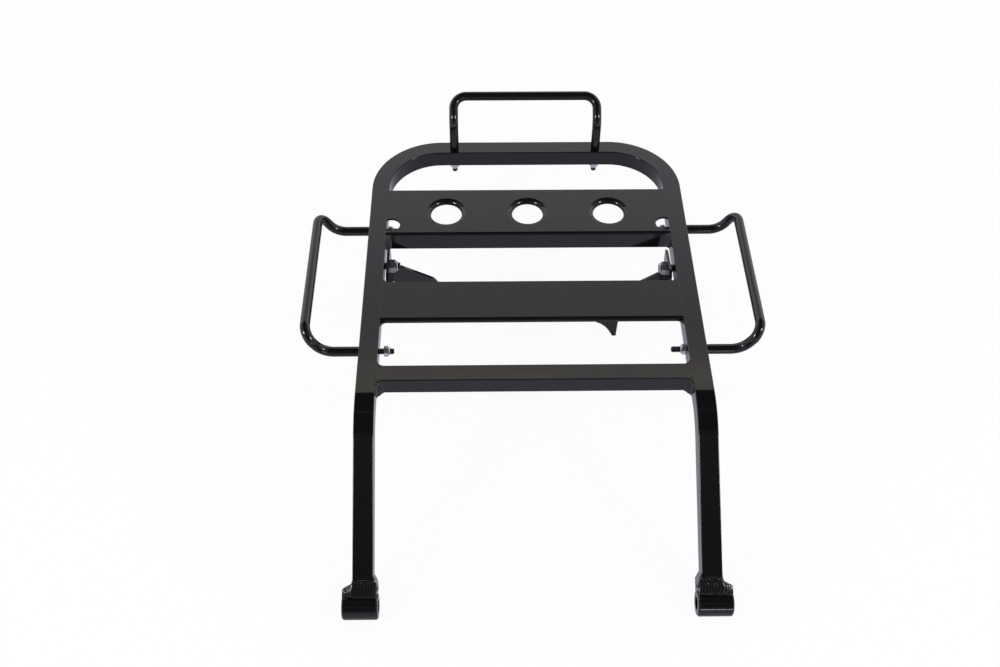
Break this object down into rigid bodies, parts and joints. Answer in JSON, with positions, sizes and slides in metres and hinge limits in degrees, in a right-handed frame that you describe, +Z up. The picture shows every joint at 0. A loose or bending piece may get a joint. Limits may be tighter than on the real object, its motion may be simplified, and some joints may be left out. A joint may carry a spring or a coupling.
{
  "type": "motorcycle luggage rack",
  "caption": "Tubular steel motorcycle rear rack with two sloping mounting legs, slatted deck plates, rod tie-down hoops at the sides and rear, and folded support brackets underneath.",
  "frame": {"origin": "centre of the middle deck plate's top face, in the plane that luggage rests on", "axes": "+X across the rack, +Y towards the machine's tail, +Z up out of the deck"},
  "size_m": [0.4804, 0.5931, 0.1909],
  "materials": {
    "black_coat": "semi-gloss black powder coat on steel",
    "zinc_plate": "bright zinc plated steel"
  },
  "bodies": {
    "root": {"main_rail": "black_coat", "front_crossbar": "black_coat", "middle_plate": "black_coat", "perforated_plate": "black_coat", "left_boss": "black_coat", "right_boss": "black_coat", "left_boss_weld": "black_coat", "right_boss_weld": "black_coat", "crossbar_welds": "black_coat", "middle_plate_welds": "black_coat", "perforated_plate_welds": "black_coat", "left_hoop": "black_coat", "right_hoop": "black_coat", "rear_hoop": "black_coat", "left_bracket_stud": "black_coat", "right_bracket_stud": "black_coat", "left_bracket_ear": "black_coat", "right_bracket_ear": "black_coat", "left_bracket": "black_coat", "right_bracket": "black_coat", "left_front_nut": "zinc_plate", "left_rear_nut": "zinc_plate", "right_front_nut": "zinc_plate", "right_rear_nut": "zinc_plate", "rear_left_nut": "zinc_plate", "rear_right_nut": "zinc_plate", "left_bracket_nut": "zinc_plate", "right_bracket_nut": "zinc_plate"}
  },
  "joints": []
}
